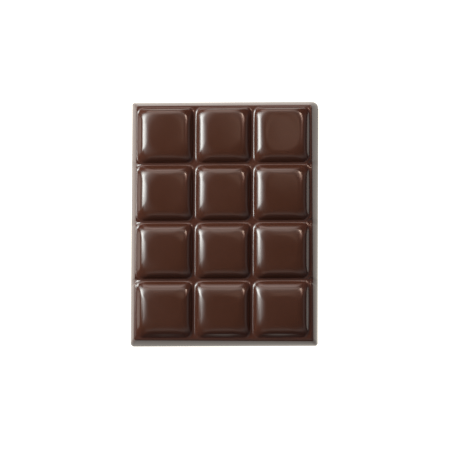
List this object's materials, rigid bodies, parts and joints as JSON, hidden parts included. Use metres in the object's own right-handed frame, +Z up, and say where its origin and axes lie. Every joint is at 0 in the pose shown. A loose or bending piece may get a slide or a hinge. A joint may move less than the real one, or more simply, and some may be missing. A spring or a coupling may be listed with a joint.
{
  "type": "chocolate bar",
  "caption": "Moulded slab of dark chocolate divided into pillow-shaped squares by grooves, with a leaning outer wall and a flat back, for snapping into pieces and eating.",
  "frame": {"origin": "middle of the flat back that the bar lies on", "axes": "+X across the columns of squares, +Y along the rows (the bar's length), +Z up through the squares"},
  "size_m": [0.0776, 0.102, 0.0091],
  "materials": {
    "dark_chocolate": "glossy moulded dark chocolate on top and sides, matt and faintly scraped on the back"
  },
  "bodies": {
    "root": {"chocolate_bar": "dark_chocolate"}
  },
  "joints": []
}
